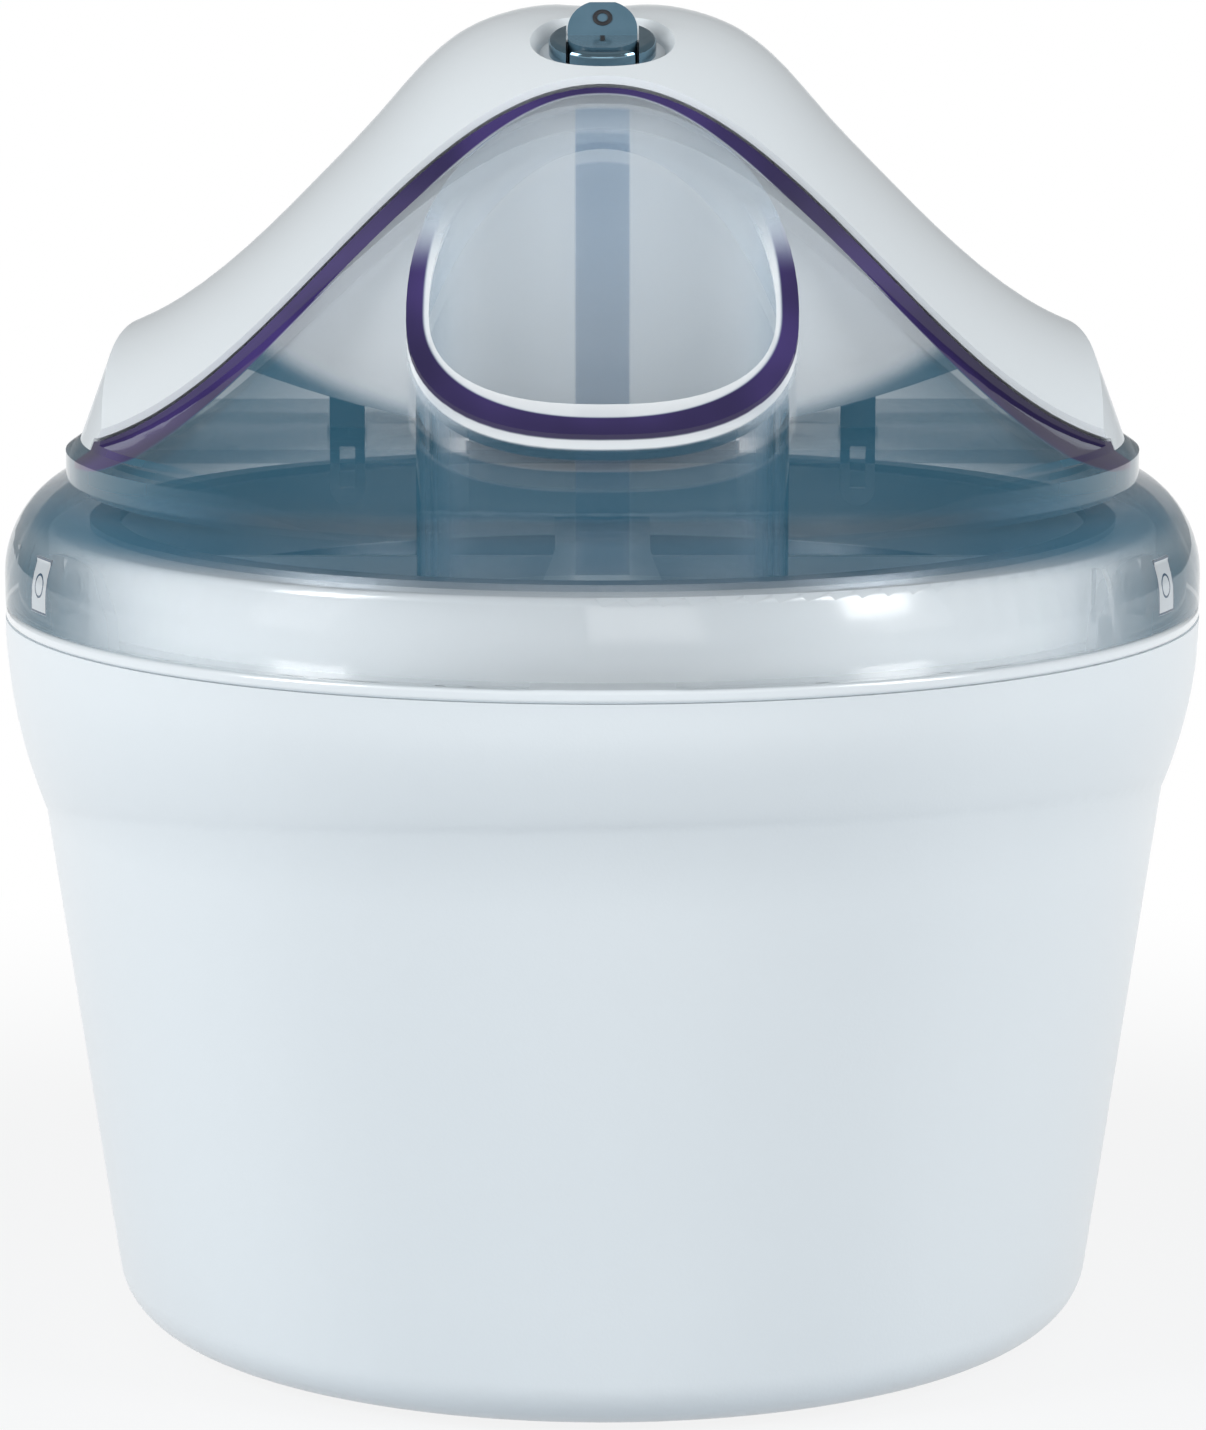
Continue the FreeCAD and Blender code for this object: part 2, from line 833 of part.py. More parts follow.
def tongue(side):
    bottom = rim_height + tongue_bottom_rise
    top = belly_curve_height(tongue_at_x) + base_wall / 2
    half = tongue_width / 2
    leaf = block(
        (-half, -tongue_thickness / 2, bottom + half), (half, tongue_thickness / 2, top))
    end = Part.makeCylinder(
        half, tongue_thickness, Vector(0, -tongue_thickness / 2, bottom + half), Vector(0, 1, 0))
    slit = block(
        (-tongue_slit_width / 2, -tongue_thickness, bottom + half),
        (tongue_slit_width / 2, tongue_thickness, bottom + half + tongue_slit_height))
    shape = leaf.fuse(end).cut(slit)
    shape.translate(Vector(side * tongue_at_x, tongue_at_y, 0))
    return shape


def post_places():
    return [(side * post_half_spacing, y) for side in (-1, 1) for y in (post_front, post_back)]


def idler_place():
    distance = (output_teeth + idler_pinion_teeth) * output_module / 2
    angle = math.radians(idler_direction)
    return distance * math.cos(angle), distance * math.sin(angle)


def motor_place():
    distance = (idler_wheel_teeth + motor_pinion_teeth) * motor_module / 2
    angle = math.radians(motor_direction)
    x, y = idler_place()
    return x + distance * math.cos(angle), y + distance * math.sin(angle)


def make_motor_base():
    envelope = end_envelope(0)
    tray = base_profile(0, arch_half_span - fill_clearance, base_front)
    block_out = tray.extrude(Vector(0, base_back - base_front, 0)).common(envelope)
    hollow = base_profile(base_wall, cavity_half_width, base_front + base_wall)
    hollow = hollow.extrude(Vector(0, base_back - base_front - 2 * base_wall, 0))
    tray = block_out.cut(hollow)
    boss = prism(rectangle(boss_half_width, boss_half_depth, boss_corner), boss_bottom, belly_floor)
    pin_x, pin_y = idler_place()
    pin_boss_top = output_gear_bottom - gear_clearance - pinion_overhang
    uprights = [rod(pin_boss_radius, boss_bottom, pin_boss_top, pin_x, pin_y)]
    uprights += [rod(post_radius, boss_bottom, plate_bottom, x, y) for x, y in post_places()]
    uprights += [rod(case_boss_radius, boss_bottom, case_boss_top(), x, y) for x, y in pillar_places()]
    uprights = [upright_piece.common(block_out) for upright_piece in uprights]
    body = joined([tray, boss, tongue(-1), tongue(1)] + uprights)
    hollow_boss = prism(
        rectangle(boss_half_width - base_wall, boss_half_depth - base_wall, boss_corner - base_wall),
        boss_bottom + bush_length, belly_floor + spare)
    cuts = [hollow_boss, rod(bush_radius, boss_bottom - spare, belly_floor)]
    cuts.append(rod(pin_radius, belly_floor, plate_bottom, pin_x, pin_y))
    pilot_bottom = plate_top - small_screw_length - screw_tip_gap
    for x, y in post_places():
        cuts.append(rod(screw_radius + fill_clearance, pilot_bottom, plate_top, x, y))
    for x, y in pillar_places():
        cuts.append(rod(screw_radius + screw_clearance, belly_height, case_boss_top() + spare, x, y))
        cuts.append(rod(screw_head_radius + screw_clearance, belly_height, case_screw_seat(), x, y))
    gland_hole = Part.makeCylinder(
        gland_radius, base_wall + 2 * spare,
        Vector(0, base_back - base_wall - spare, rim_height + gland_rise), Vector(0, 1, 0))
    return body.cut(cuts + [gland_hole])


def make_switch_body():
    bezel_top = bezel_thickness - dish_depth
    flange = revolved([
        (0, -dish_depth), (bezel_radius, -dish_depth),
        (bezel_radius, bezel_top, bezel_round), (0, bezel_top)])
    barrel = rod(barrel_radius, -dish_depth - barrel_length, -dish_depth)
    well = prism(
        rectangle(rocker_half_width + rocker_clearance, rocker_half_length + rocker_clearance),
        rocker_pivot_rise - rocker_well, dish_depth)
    return on_switch(joined([flange, barrel]).cut(well))


def make_rocker():
    slope = math.radians(rocker_slope)
    tip_y = rocker_half_length * math.cos(slope)
    tip_z = rocker_half_length * math.sin(slope)
    low_y = math.sqrt(rocker_half_length ** 2 - rocker_skirt ** 2)
    front_tip = side_on(-tip_y, tip_z)
    rear_tip = side_on(tip_y, tip_z)
    front_low = side_on(-low_y, -rocker_skirt)
    rear_low = side_on(low_y, -rocker_skirt)
    edges = [
        Part.LineSegment(front_tip, side_on(0, 0)).toShape(),
        Part.LineSegment(side_on(0, 0), rear_tip).toShape(),
        Part.Arc(rear_tip, side_on(rocker_half_length, 0), rear_low).toShape(),
        Part.LineSegment(rear_low, front_low).toShape(),
        Part.Arc(front_low, side_on(-rocker_half_length, 0), front_tip).toShape()]
    face = Part.Face(Part.Wire(edges))
    face.translate(Vector(-rocker_half_width, 0, 0))
    button = face.extrude(Vector(2 * rocker_half_width, 0, 0))
    trim = prism(
        rectangle(rocker_half_width, rocker_half_length, rocker_corner),
        -rocker_half_length, rocker_half_length)
    shape = button.common(trim)
    shape.rotate(Vector(), Vector(1, 0, 0), rocker_tilt)
    shape.translate(Vector(0, 0, rocker_pivot_rise))
    return on_switch(group([shape]))


def make_switch_terminals():
    top = -dish_depth - barrel_length
    tabs = []
    for side in (-1, 1):
        middle = side * terminal_spacing / 2
        tabs.append(block(
            (middle - terminal_thickness / 2, -terminal_width / 2, top - terminal_length),
            (middle + terminal_thickness / 2, terminal_width / 2, top)))
    return on_switch(group(tabs))


# Gear train


def gear(teeth, module, bottom, top, tooth_at):
    # A spur gear on the axis with one tooth centred at the angle tooth_at.
    pitch_radius = teeth * module / 2
    base = pitch_radius * math.cos(math.radians(pressure_angle))
    tip = pitch_radius + tooth_addendum * module
    root = pitch_radius - tooth_dedendum * module
    start = max(base, root)
    lag = math.tan(math.radians(pressure_angle)) - math.radians(pressure_angle)
    half_tooth = math.pi / (2 * teeth) - tooth_backlash / (2 * pitch_radius)

    def half_width(radius):
        press = math.acos(min(1, base / radius))
        return half_tooth + lag - (math.tan(press) - press)

    def spot(radius, angle):
        return Vector(radius * math.cos(angle), radius * math.sin(angle), bottom)

    radii = [start + (tip - start) * step / (flank_points - 1) for step in range(flank_points)]
    edges = []
    pitch_angle = 2 * math.pi / teeth
    for tooth in range(teeth):
        middle = math.radians(tooth_at) + pitch_angle * tooth
        rising = [spot(radius, middle - half_width(radius)) for radius in radii]
        falling = [spot(radius, middle + half_width(radius)) for radius in reversed(radii)]
        root_in = spot(root, middle - half_width(start))
        root_out = spot(root, middle + half_width(start))
        next_root = spot(root, middle + pitch_angle - half_width(start))
        if start > root:
            edges.append(Part.LineSegment(root_in, rising[0]).toShape())
        edges.append(curve_through(rising))
        edges.append(Part.Arc(rising[-1], spot(tip, middle), falling[0]).toShape())
        edges.append(curve_through(falling))
        if start > root:
            edges.append(Part.LineSegment(falling[-1], root_out).toShape())
        edges.append(Part.Arc(root_out, spot(root, middle + pitch_angle / 2), next_root).toShape())
    return Part.Face(Part.Wire(edges)).extrude(Vector(0, 0, top - bottom))


def opposite_gap(direction, teeth):
    # Angle of a tooth such that a gap faces back along direction.
    return direction + 180 + 180 / teeth


def make_output_gear():
    wheel = gear(output_teeth, output_module, output_gear_bottom, output_gear_top, idler_direction)
    hub = rod(output_hub_radius, belly_floor + gear_clearance, output_gear_top)
    return joined([wheel, hub]).cut(rod(shaft_radius, belly_floor, plate_top))


def make_output_shaft():
    spindle = rod(shaft_radius, boss_bottom - hub_gap, plate_top)
    half = drive_width / 2
    drive = prism(rectangle(half, half), hub_top - drive_length, boss_bottom)
    drive = drive.common(rod(shaft_radius, hub_top - drive_length, boss_bottom))
    return joined([spindle, drive])


def make_output_bush():
    top = boss_bottom + bush_length
    barrel = rod(bush_radius, boss_bottom + seal_thickness, top)
    flange = rod(bush_flange, top, top + bush_flange_thickness)
    bore = rod(shaft_radius + running_clearance, boss_bottom, top + bush_length)
    return joined([barrel, flange]).cut(bore)


def make_shaft_seal():
    bore = shaft_radius + running_clearance
    return ring(bush_radius, bore, boss_bottom, boss_bottom + seal_thickness)


def make_idler_gear():
    x, y = idler_place()
    pinion_bottom = output_gear_bottom - pinion_overhang
    pinion = gear(
        idler_pinion_teeth, output_module, pinion_bottom, wheel_bottom,
        opposite_gap(idler_direction, idler_pinion_teeth))
    wheel = gear(idler_wheel_teeth, motor_module, wheel_bottom, wheel_top, motor_direction)
    shape = joined([pinion, wheel]).cut(rod(pin_radius + running_clearance, belly_floor, plate_top))
    shape.translate(Vector(x, y, 0))
    return shape


def make_idler_pin():
    x, y = idler_place()
    return rod(pin_radius, belly_floor, plate_top, x, y)


def make_gear_plate():
    middle = (plate_front + plate_back) / 2
    half_depth = (plate_back - plate_front) / 2
    sheet = prism(rectangle(plate_half_width, half_depth, plate_corner, 0, middle), plate_bottom, plate_top)
    motor_x, motor_y = motor_place()
    pin_x, pin_y = idler_place()
    cuts = [
        rod(shaft_radius + running_clearance, belly_floor, plate_top + spare),
        rod(pin_radius, belly_floor, plate_top + spare, pin_x, pin_y),
        rod(shaft_hole_radius, belly_floor, plate_top + spare, motor_x, motor_y)]
    for x, y in post_places() + ear_places():
        cuts.append(rod(screw_radius + fill_clearance, belly_floor, plate_top + spare, x, y))
    return sheet.cut(cuts)


# Motor


def ear_places():
    x, y = motor_place()
    return [(x - ear_reach, y), (x + ear_reach, y)]


def make_motor_can():
    x, y = motor_place()
    can = rod(motor_radius, plate_top, motor_top, x, y)
    ear_top = plate_top + ear_thickness
    ears = [rod(ear_radius, plate_top, ear_top, a, b) for a, b in ear_places()]
    bar = block((x - ear_reach, y - ear_radius, plate_top), (x + ear_reach, y + ear_radius, ear_top))
    cuts = [
        rod(motor_radius - motor_wall, plate_top + motor_wall, motor_top - motor_wall, x, y),
        rod(motor_shaft_radius + running_clearance, plate_bottom, motor_top + spare, x, y)]
    for a, b in ear_places():
        cuts.append(rod(screw_radius + screw_clearance, plate_top - spare, ear_top + spare, a, b))
    return joined([can, bar] + ears).cut(cuts)


def make_motor_coil():
    x, y = motor_place()
    bottom = plate_top + motor_wall
    top = motor_top - motor_wall - coil_margin
    return ring(motor_radius - motor_wall, coil_bore, bottom, top, x, y)


def make_rotor():
    x, y = motor_place()
    magnet = rod(rotor_radius, plate_top + rotor_margin, motor_top - rotor_margin, x, y)
    spindle = rod(motor_shaft_radius, wheel_bottom - pinion_overhang, motor_top, x, y)
    return joined([magnet, spindle])


def make_motor_pinion():
    x, y = motor_place()
    shape = gear(
        motor_pinion_teeth, motor_module, wheel_bottom - pinion_overhang, wheel_top + pinion_overhang,
        opposite_gap(motor_direction, motor_pinion_teeth))
    shape = shape.cut(rod(motor_shaft_radius, belly_floor, plate_top))
    shape.translate(Vector(x, y, 0))
    return shape


# Gland, leads and screws


def make_cord_gland():
    height = rim_height + gland_rise
    back = Vector(0, 1, 0)
    start = base_back - base_wall - gland_inside
    barrel = Part.makeCylinder(gland_radius, base_back - start, Vector(0, start, height), back)
    flange = Part.makeCylinder(
        gland_flange_radius, gland_flange_thickness, Vector(0, base_back, height), back)
    bore = Part.makeCylinder(gland_bore, through, Vector(0, start - spare, height), back)
    return joined([barrel, flange]).cut(bore)


def rounded_path(points):
    # An open path through the points, with each turn rounded by the leads' bend.
    edges = []
    start = points[0]
    for before, here, after in zip(points, points[1:], points[2:]):
        back = (before - here).normalize()
        ahead = (after - here).normalize()
        half_angle = back.getAngle(ahead) / 2
        reach = lead_bend / math.tan(half_angle)
        middle = here + (back + ahead).normalize() * (lead_bend / math.sin(half_angle) - lead_bend)
        edges.append(Part.LineSegment(start, here + back * reach).toShape())
        edges.append(Part.Arc(here + back * reach, middle, here + ahead * reach).toShape())
        start = here + ahead * reach
    edges.append(Part.LineSegment(start, points[-1]).toShape())
    return Part.Wire(edges)


def lead(points):
    path = rounded_path(points)
    section = Part.Wire(Part.Circle(points[0], points[1] - points[0], lead_radius).toShape())
    return path.makePipeShell([section], True, False)


def make_lead_wires():
    # Gland to switch, switch to motor and gland to motor, routed by hand through points near the motor.
    tab = -dish_depth - barrel_length - terminal_length / 2
    rest = on_switch(Part.Vertex(0, 0, 0)).Placement
    ends = []
    for side in (-1, 1):
        spot = Vector(side * terminal_spacing / 2, terminal_width / 2, tab)
        ends.append([rest.multVec(spot), rest.multVec(spot + Vector(0, lead_stub, 0))])
    x, y = motor_place()
    gland = Vector(0, base_back - base_wall - gland_inside, rim_height + gland_rise)
    aside = Vector(lead_spread, 0, 0)
    inward = Vector(0, -lead_entry, 0)
    right_entry = gland + aside + inward
    left_entry = gland - aside + inward

    def over_motor(bends):
        return [Vector(x, y, motor_top) + Vector(*bend) for bend in bends]

    switched = ends[1] + over_motor(switched_lead_bends) + [
        right_entry + Vector(*switched_lead_end), right_entry, gland + aside]
    to_motor = ends[0] + over_motor(motor_lead_bends)
    neutral = [gland - aside, left_entry, left_entry + Vector(*neutral_lead_start)]
    neutral += over_motor(neutral_lead_bends)
    return group([lead(switched), lead(to_motor), lead(neutral)])


def screw(x, y, seat, length, direction):
    # A screw whose head sits on the height seat, with its shank pointing up (1) or down (-1).
    head = rod(screw_head_radius, 0, screw_head_height)
    shank = rod(screw_radius, -length, 0)
    shape = head.fuse(shank)
    if direction > 0:
        shape.rotate(Vector(), Vector(1, 0, 0), 180)
    shape.translate(Vector(x, y, seat))
    return shape


def make_case_screws():
    seat = case_screw_seat()
    return group([screw(x, y, seat, case_screw_length - screw_tip_gap, 1) for x, y in pillar_places()])


def make_plate_screws():
    return group([screw(x, y, plate_top, small_screw_length, -1) for x, y in post_places()])


def make_motor_screws():
    seat = plate_top + ear_thickness
    return group([screw(x, y, seat, ear_thickness + plate_thickness, -1) for x, y in ear_places()])


# Paddle


def make_paddle():
    neck_bottom = hub_top - hub_neck
    flare_bottom = neck_bottom - hub_flare_length
    hub = revolved([
        (0, hub_top), (hub_radius, hub_top, hub_round), (hub_radius, neck_bottom),
        (hub_flare_radius, flare_bottom), (hub_flare_radius, hub_top - hub_length),
        (0, hub_top - hub_length)])
    reach = liner_wall + blade_clearance
    low = liner_radius(blade_bottom) - reach
    high = liner_radius(blade_top) - reach
    outline = [
        (-low, blade_bottom, liner_round), (low, blade_bottom, liner_round),
        (high, blade_top, blade_corner), (-high, blade_top, blade_corner)]
    blade = Part.Face(rounded_wire(outline))
    blade.translate(Vector(0, -blade_thickness / 2, 0))
    blade = blade.extrude(Vector(0, blade_thickness, 0))
    windows = []
    for side in (-1, 1):
        window = [
            (side * spine_half_width, blade_bottom + blade_foot_bar, blade_corner / 2),
            (side * (low - blade_side_bar), blade_bottom + blade_foot_bar, blade_corner),
            (side * (high - blade_side_bar), blade_top - blade_bar, blade_corner),
            (side * hub_flare_radius, blade_top - blade_bar, blade_corner / 4)]
        face = Part.Face(rounded_wire(window))
        face.translate(Vector(0, -blade_thickness, 0))
        windows.append(face.extrude(Vector(0, 2 * blade_thickness, 0)))
    half = drive_width / 2 + drive_clearance
    socket = prism(rectangle(half, half), hub_top - drive_length - spare, hub_top + spare)
    mouth = rod(shaft_radius + drive_clearance, hub_top - drive_length - spare, hub_top + spare)
    return joined([hub, blade.cut(windows)]).cut(socket.common(mouth))


def write_parts():
    makers = {
        "housing": make_housing,
        "rubber_feet": make_feet,
        "bowl_jacket": make_bowl_jacket,
        "fill_plug": make_fill_plug,
        "bowl_liner": make_bowl_liner,
        "coolant_fill": make_coolant_fill,
        "bowl_collar": make_bowl_collar,
        "bowl_seal": make_bowl_seal,
        "lid": make_lid,
        "motor_cover": make_motor_cover,
        "motor_base": make_motor_base,
        "switch_body": make_switch_body,
        "rocker": make_rocker,
        "switch_terminals": make_switch_terminals,
        "output_gear": make_output_gear,
        "output_shaft": make_output_shaft,
        "output_bush": make_output_bush,
        "shaft_seal": make_shaft_seal,
        "idler_gear": make_idler_gear,
        "idler_pin": make_idler_pin,
        "gear_plate": make_gear_plate,
        "motor_can": make_motor_can,
        "motor_coil": make_motor_coil,
        "rotor": make_rotor,
        "motor_pinion": make_motor_pinion,
        "cord_gland": make_cord_gland,
        "lead_wires": make_lead_wires,
        "case_screws": make_case_screws,
        "plate_screws": make_plate_screws,
        "motor_screws": make_motor_screws,
        "paddle": make_paddle,
    }
    os.makedirs("parts", exist_ok=True)
    for name, maker in makers.items():
        shape = maker()
        box = shape.BoundBox
        print(
            name, "valid" if shape.isValid() else "NOT VALID", "solids", len(shape.Solids),
            "volume", round(shape.Volume), "z", round(box.ZMin, 2), round(box.ZMax, 2))
        shape.exportStep(os.path.join("parts", name + ".step"))


write_parts()
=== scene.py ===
import bmesh
import bpy
import json
import math
from mathutils import Matrix, Vector


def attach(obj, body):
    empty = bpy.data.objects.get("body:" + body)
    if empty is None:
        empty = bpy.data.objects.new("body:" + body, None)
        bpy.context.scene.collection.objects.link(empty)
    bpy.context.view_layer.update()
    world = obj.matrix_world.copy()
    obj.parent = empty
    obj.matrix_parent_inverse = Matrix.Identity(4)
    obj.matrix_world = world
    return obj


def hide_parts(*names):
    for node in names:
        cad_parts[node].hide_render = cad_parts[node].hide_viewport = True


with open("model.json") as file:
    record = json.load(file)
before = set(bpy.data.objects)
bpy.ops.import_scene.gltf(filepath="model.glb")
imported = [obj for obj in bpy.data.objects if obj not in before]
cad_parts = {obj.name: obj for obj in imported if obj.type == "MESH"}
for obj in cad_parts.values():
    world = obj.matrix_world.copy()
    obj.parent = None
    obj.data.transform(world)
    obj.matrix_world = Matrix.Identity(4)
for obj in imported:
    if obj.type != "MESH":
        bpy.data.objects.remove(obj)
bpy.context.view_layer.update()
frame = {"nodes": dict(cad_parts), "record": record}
scene = bpy.context.scene
scene.view_settings.view_transform = "Standard"
nodes = frame["nodes"]
bodies = frame["record"]["behaviour"]["bodies"]
bodyOf = {node: body for body, members in bodies.items() for node in members}

cameraView = {
    "place": (0.0, -1.0, 0.28674), "tiltDown": 0.1706, "lens": 134.2, "shiftX": 0.00035, "shiftY": 0.0018}

cameraData = bpy.data.cameras.new("camera")
cameraData.lens = cameraView["lens"]
cameraData.shift_x = cameraView["shiftX"]
cameraData.shift_y = cameraView["shiftY"]
camera = bpy.data.objects.new("camera", cameraData)
camera.location = cameraView["place"]
camera.rotation_euler = (math.pi / 2 - cameraView["tiltDown"], 0, 0)
scene.collection.objects.link(camera)
scene.camera = camera
print("camera placed")


class Wire:  # a node socket that takes plain sums
    def __init__(self, tree, socket=None):
        self.tree = tree
        self.socket = socket

    def node(self, kind, settings=None, links=None, out=0):
        made = self.tree.nodes.new(kind)
        for key, value in (settings or {}).items():
            setattr(made, key, value)
        for name, value in (links or {}).items():
            if isinstance(value, Wire):
                self.tree.links.new(value.socket, made.inputs[name])
            else:
                made.inputs[name].default_value = value
        return Wire(self.tree, made.outputs[out] if made.outputs else None)

    def maths(self, operation, first, second=0.0):
        return self.node("ShaderNodeMath", {"operation": operation}, {0: first, 1: second})

    def __add__(self, other):
        return self.maths("ADD", self, other)

    def __radd__(self, other):
        return self.maths("ADD", other, self)

    def __sub__(self, other):
        return self.maths("SUBTRACT", self, other)

    def __rsub__(self, other):
        return self.maths("SUBTRACT", other, self)

    def __mul__(self, other):
        return self.maths("MULTIPLY", self, other)

    def __rmul__(self, other):
        return self.maths("MULTIPLY", other, self)

    def __truediv__(self, other):
        return self.maths("DIVIDE", self, other)

    def __rtruediv__(self, other):
        return self.maths("DIVIDE", other, self)

    def __pow__(self, other):
        return self.maths("POWER", self, other)

    def __rpow__(self, other):
        return self.maths("POWER", other, self)

    def __abs__(self):
        return self.maths("ABSOLUTE", self)

    def clipped(self):
        return self.node("ShaderNodeClamp", {}, {"Value": self})

    def between(self, low, high):  # 0 at low, 1 at high, eased; falls where low is the larger
        return self.node(
            "ShaderNodeMapRange", {"interpolation_type": "SMOOTHSTEP"},
            {"Value": self, "From Min": low, "From Max": high})

    def mixed(self, first, second):  # two colours, by this value
        return self.node(
            "ShaderNodeMix", {"data_type": "RGBA"}, {"Factor": self, 6: first, 7: second}, out=2)


def startFinish(name):
    finish = bpy.data.materials.new(name)
    finish.use_nodes = True
    finish.node_tree.nodes.clear()
    wire = Wire(finish.node_tree)
    where = wire.node("ShaderNodeTexCoord", out=3)  # object coordinates
    return finish, wire, where


def noise(wire, where, scale, detail, stretch=(1, 1, 1)):
    place = wire.node("ShaderNodeMapping", {}, {"Vector": where, "Scale": stretch})
    return wire.node("ShaderNodeTexNoise", {}, {"Vector": place, "Scale": scale, "Detail": detail})


def axes(wire, where):
    split = wire.node("ShaderNodeSeparateXYZ", {}, {0: where})
    parts = split.socket.node.outputs
    return [Wire(wire.tree, parts[index]) for index in range(3)]


def bump(wire, height, strength, distance):
    return wire.node("ShaderNodeBump", {}, {"Strength": strength, "Distance": distance, "Height": height})


def surface(wire, links):
    shader = wire.node("ShaderNodeBsdfPrincipled", {}, links)
    wire.node("ShaderNodeOutputMaterial", {}, {"Surface": shader})


def rgba(colour):
    return (*colour, 1.0)


noiseMiddle = 0.5  # the mean of a noise
mouldGrain = {
    "cloudDetail": 3.0, "cloudZone": (0.1, 0.9), "grainDetail": 2.0, "bumpDepth": 0.0004,
    "coatRoughness": 0.12}
metalGrain = {"streakDetail": 4.0, "stainDetail": 3.0, "stainZone": (0.35, 0.7), "bumpDepth": 0.0003}
rubberGrain = {
    "bloomDetail": 4.0, "bloomZone": (0.4, 0.75), "uneven": 0.2, "poreDetail": 2.0, "bumpDepth": 0.0004}


def plastic(name, look):  # moulded plastic: faint clouds of colour, fine moulding grain, uneven gloss
    finish, wire, where = startFinish(name)
    clouds = noise(wire, where, look["cloudScale"], mouldGrain["cloudDetail"])
    colour = clouds.between(*mouldGrain["cloudZone"]).mixed(rgba(look["shade"]), rgba(look["colour"]))
    grain = noise(wire, where, look["grainScale"], mouldGrain["grainDetail"])
    surface(wire, {
        "Base Color": colour, "Roughness": look["roughness"] + (clouds - noiseMiddle) * look["uneven"],
        "Coat Weight": look["coat"], "Coat Roughness": mouldGrain["coatRoughness"],
        "Normal": bump(wire, grain, look["grainDepth"], mouldGrain["bumpDepth"])})
    return finish


def metal(name, look):  # brushed or drawn metal, streaked along one axis
    finish, wire, where = startFinish(name)
    streaks = noise(wire, where, look["streakScale"], metalGrain["streakDetail"], look["stretch"])
    stain = noise(wire, where, look["stainScale"], metalGrain["stainDetail"])
    colour = stain.between(*metalGrain["stainZone"]).mixed(rgba(look["colour"]), rgba(look["shade"]))
    gloss = look["roughness"] + (streaks - noiseMiddle) * look["uneven"]
    bare = 1.0
    if "band" in look:  # lacquered between two heights
        height = axes(wire, where)[2]
        soft = look["bandSoft"]
        lacquer = height.between(look["bandFrom"] - soft, look["bandFrom"] + soft)
        lacquer = lacquer * height.between(look["bandTo"] + soft, look["bandTo"] - soft)
        colour = lacquer.mixed(colour, rgba(look["band"]))
        bare = 1 - lacquer
    surface(wire, {
        "Base Color": colour, "Metallic": bare, "Roughness": gloss.clipped(),
        "Normal": bump(wire, streaks, look["streakDepth"], metalGrain["bumpDepth"])})
    return finish


def rubber(name, look):  # soft matt rubber with a dusty bloom
    finish, wire, where = startFinish(name)
    bloom = noise(wire, where, look["bloomScale"], rubberGrain["bloomDetail"])
    colour = bloom.between(*rubberGrain["bloomZone"]).mixed(rgba(look["colour"]), rgba(look["dust"]))
    gloss = look["roughness"] + (bloom - noiseMiddle) * rubberGrain["uneven"]
    pores = noise(wire, where, look["poreScale"], rubberGrain["poreDetail"])
    surface(wire, {
        "Base Color": colour, "Roughness": gloss.clipped(),
        "Normal": bump(wire, pores, look["poreDepth"], rubberGrain["bumpDepth"])})
    return finish


shellLook = {
    "colour": (0.74, 0.79, 0.82), "shade": (0.71, 0.765, 0.80), "cloudScale": 9.0, "uneven": 0.05,
    "roughness": 0.32, "coat": 0.3, "grainScale": 1600.0, "grainDepth": 0.05}
collarLook = {
    "colour": (0.74, 0.79, 0.82), "shade": (0.715, 0.77, 0.805), "cloudScale": 9.0, "uneven": 0.04,
    "roughness": 0.30, "coat": 1.0, "grainScale": 1600.0, "grainDepth": 0.03}
jacketLook = {
    "colour": (0.60, 0.66, 0.70), "shade": (0.54, 0.60, 0.65), "cloudScale": 14.0, "uneven": 0.1,
    "roughness": 0.5, "coat": 0.0, "grainScale": 700.0, "grainDepth": 0.2}
paddleLook = {
    "colour": (0.72, 0.80, 0.85), "shade": (0.66, 0.75, 0.81), "cloudScale": 22.0, "uneven": 0.1,
    "roughness": 0.34, "coat": 0.1, "grainScale": 900.0, "grainDepth": 0.1}
gearLook = {
    "colour": (0.79, 0.77, 0.70), "shade": (0.70, 0.68, 0.60), "cloudScale": 60.0, "uneven": 0.12,
    "roughness": 0.42, "coat": 0.0, "grainScale": 1500.0, "grainDepth": 0.12}
gelLook = {
    "colour": (0.20, 0.38, 0.58), "shade": (0.15, 0.30, 0.50), "cloudScale": 30.0, "uneven": 0.2,
    "roughness": 0.4, "coat": 0.2, "grainScale": 200.0, "grainDepth": 0.3}
rockerLook = {
    "colour": (0.085, 0.165, 0.225), "shade": (0.06, 0.13, 0.18), "cloudScale": 160.0, "uneven": 0.08,
    "roughness": 0.16, "coat": 0.6, "grainScale": 2400.0, "grainDepth": 0.05}
markLook = {
    "colour": (0.012, 0.013, 0.016), "shade": (0.02, 0.022, 0.026), "cloudScale": 400.0, "uneven": 0.1,
    "roughness": 0.7, "coat": 0.0, "grainScale": 4000.0, "grainDepth": 0.1}
bezelLook = {
    "colour": (0.20, 0.32, 0.40), "shade": (0.13, 0.23, 0.30), "stainScale": 140.0, "streakScale": 500.0,
    "stretch": (1, 1, 0.1), "uneven": 0.06, "roughness": 0.12, "streakDepth": 0.05}
# painted shade: the liner's aluminium is given a dark grey so the bowl's inside stays dark, as in shade; the
# band near its top is white lacquer
bowlLook = {
    "colour": (0.26, 0.29, 0.32), "shade": (0.19, 0.215, 0.24), "stainScale": 16.0, "streakScale": 320.0,
    "stretch": (0.05, 0.05, 1), "uneven": 0.22, "roughness": 0.34, "streakDepth": 0.12,
    "band": (0.82, 0.87, 0.90), "bandFrom": 0.1375, "bandTo": 0.1525, "bandSoft": 0.0003}
steelLook = {
    "colour": (0.56, 0.57, 0.58), "shade": (0.44, 0.45, 0.47), "stainScale": 60.0, "streakScale": 900.0,
    "stretch": (1, 1, 0.08), "uneven": 0.25, "roughness": 0.3, "streakDepth": 0.15}
